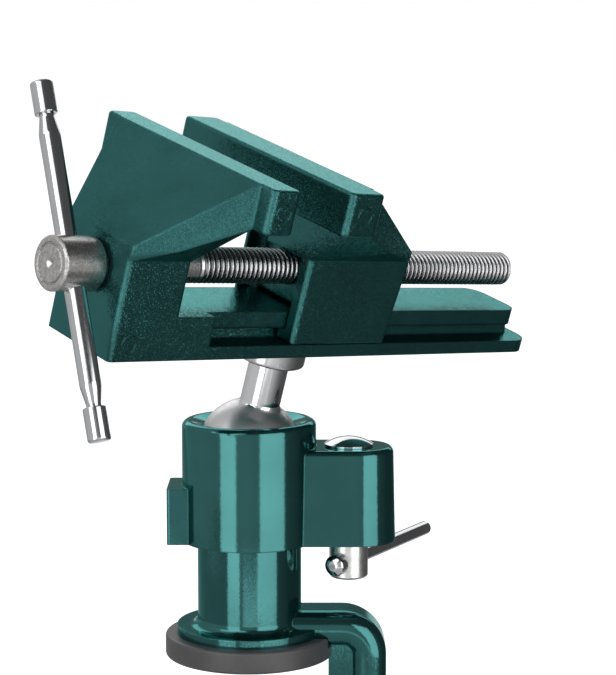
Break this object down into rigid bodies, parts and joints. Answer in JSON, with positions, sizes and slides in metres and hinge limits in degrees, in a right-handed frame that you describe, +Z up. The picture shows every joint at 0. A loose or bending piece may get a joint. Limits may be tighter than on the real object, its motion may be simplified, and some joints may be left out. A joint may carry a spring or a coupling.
{
  "type": "swivel bench vise",
  "caption": "Small clamp-on bench vise on a ball joint: screw-driven parallel jaws, lockable swivel and a screw clamp foot for a bench edge.",
  "frame": {"origin": "centre of the underside of the rubber bench pad, on the column's axis", "axes": "+Z up along the column, +X from the column towards the lock bolt's ear and the spine of the clamp frame, +Y away from the side shown in the picture"},
  "size_m": [0.1309, 0.1325, 0.2728],
  "materials": {
    "castings": "metallic green enamel on a fine cast surface",
    "frame_paint": "metallic green enamel, smooth",
    "black_rubber": "satin",
    "turned_steel": "fine turned",
    "chrome_plate": "polished",
    "dull_nickel": "fine grained, dull",
    "thread_steel": "machined",
    "dark_steel": "blackened",
    "zinc_steel": "zinc plated"
  },
  "bodies": {
    "base": {"clamp_frame": "frame_paint", "bench_pad": "black_rubber", "ball_collar": "frame_paint", "lock_bolt": "chrome_plate", "lock_washer": "zinc_steel"},
    "seat": {"ball_seat": "dark_steel"},
    "stud": {"ball_stud": "turned_steel", "stem_lock_ring": "turned_steel"},
    "head": {"fixed_jaw": "castings"},
    "sliding_jaw": {"sliding_jaw": "castings"},
    "screw": {"lead_screw": "thread_steel", "screw_hub": "dull_nickel", "thrust_washer": "dark_steel"},
    "handle": {"handle_bar": "chrome_plate", "handle_caps": "chrome_plate"},
    "lock_nut": {"lock_nut": "zinc_steel", "lock_lever": "chrome_plate"},
    "pad": {"pressure_pad": "zinc_steel", "pad_facing": "black_rubber", "pad_snap_ring": "dark_steel"},
    "clamp_screw": {"clamp_screw": "thread_steel", "clamp_screw_hub": "dull_nickel"},
    "clamp_handle": {"clamp_bar": "chrome_plate", "clamp_bar_caps": "chrome_plate"}
  },
  "joints": [
    {"name": "swivel", "type": "hinge", "parent": "base", "child": "seat", "pos_m": [0, 0, 0.057], "axis": [0, 0, 1], "continuous": true},
    {"name": "tilt", "type": "hinge", "parent": "seat", "child": "stud", "pos_m": [0, 0, 0.057], "axis": [0.5329, 0.8462, 0], "range_deg": [-49.4, 18.6]},
    {"name": "head_turn", "type": "hinge", "parent": "stud", "child": "head", "pos_m": [0.00706, -0.00444, 0.08727], "axis": [0.2247, -0.1415, 0.9641], "continuous": true},
    {"name": "jaw_slide", "type": "slide", "parent": "head", "child": "sliding_jaw", "axis": [0.7404, 0.668, -0.0745], "range_m": [-0.0166, 0.0432]},
    {"name": "screw_turn", "type": "hinge", "parent": "head", "child": "screw", "pos_m": [0.01175, -0.0074, 0.10742], "axis": [0.7404, 0.668, -0.0745], "range_deg": [-9800, 3770]},
    {"name": "handle_slide", "type": "slide", "parent": "screw", "child": "handle", "axis": [-0.1759, 0.2996, 0.9377], "range_m": [-0.0311, 0.029]},
    {"name": "lock_turn", "type": "hinge", "parent": "base", "child": "lock_nut", "pos_m": [0.0271, 0, 0.027], "axis": [0, 0, 1], "range_deg": [-195, 75]},
    {"name": "clamp_travel", "type": "slide", "parent": "base", "child": "pad", "axis": [0, 0, 1], "range_m": [-0.024, 0.024]},
    {"name": "clamp_turn", "type": "hinge", "parent": "pad", "child": "clamp_screw", "pos_m": [0, 0, -0.06], "axis": [0, 0, 1], "range_deg": [-5450, 5450]},
    {"name": "clamp_handle_slide", "type": "slide", "parent": "clamp_screw", "child": "clamp_handle", "axis": [0.9063, 0.4226, 0], "range_m": [-0.0206, 0.0206]}
  ],
  "couplings": [
    {"joint": "screw_turn", "follows": "jaw_slide", "rad_per_m": -3957.9},
    {"joint": "clamp_turn", "follows": "clamp_travel", "rad_per_m": 3957.9}
  ]
}
